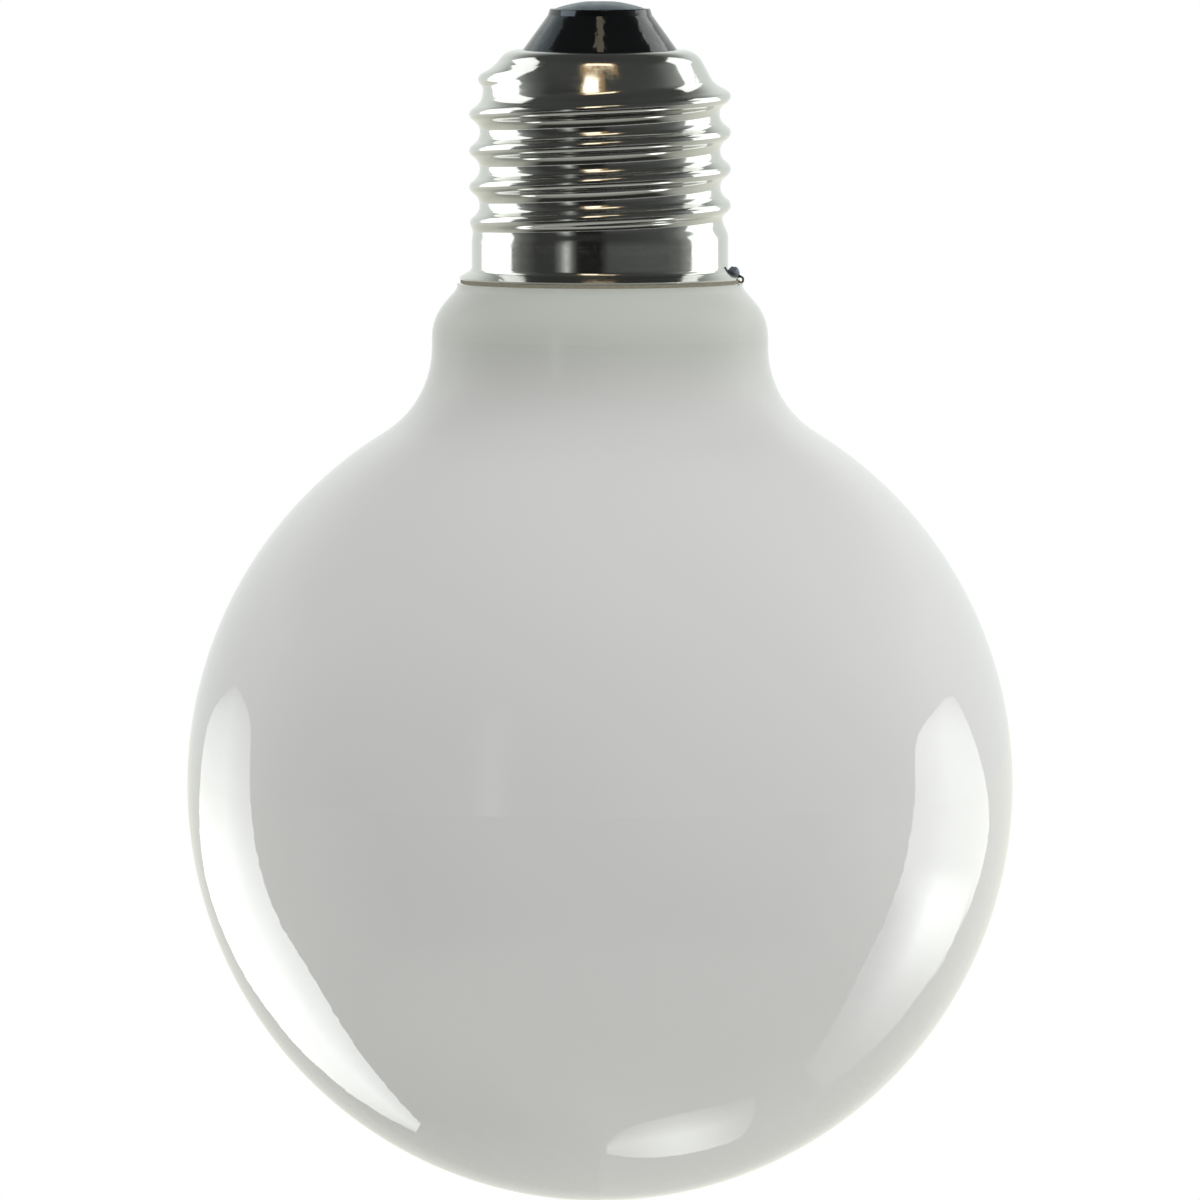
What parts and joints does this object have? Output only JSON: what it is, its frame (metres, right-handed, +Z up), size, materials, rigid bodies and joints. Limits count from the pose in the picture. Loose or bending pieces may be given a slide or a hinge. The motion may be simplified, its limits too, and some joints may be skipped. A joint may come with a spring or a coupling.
{
  "type": "globe bulb",
  "caption": "Opal globe bulb hanging from a rolled screw cap with a black glass insulator, a domed centre contact and a side lead folded over the rim.",
  "frame": {"origin": "tip of the centre contact, on the axis of the screw cap", "axes": "+Z up along the bulb's axis, out of the cap towards the holder's spring; the globe hangs below; +X to the right and -Y to the front of the pictured view"},
  "size_m": [0.0826, 0.0826, 0.1199],
  "materials": {
    "opal_glass": "opal white glass, smooth and glossy outside",
    "nickel_plate": "nickel-plated brass sheet, rolled, mirror bright",
    "capping_cement": "baked resin and marble-flour cement, dull",
    "black_glass": "pressed black lead-free glass, fire polished",
    "contact_plate": "nickel-plated brass button, dulled by its solder",
    "lead_wire": "drawn nickel wire",
    "weld_metal": "weld bead, blued by heat"
  },
  "bodies": {
    "root": {"glass_bulb": "opal_glass", "cap_shell": "nickel_plate", "capping_cement": "capping_cement", "cap_insulator": "black_glass", "centre_contact": "contact_plate", "centre_lead": "lead_wire", "side_lead": "lead_wire", "side_weld": "weld_metal"}
  },
  "joints": []
}
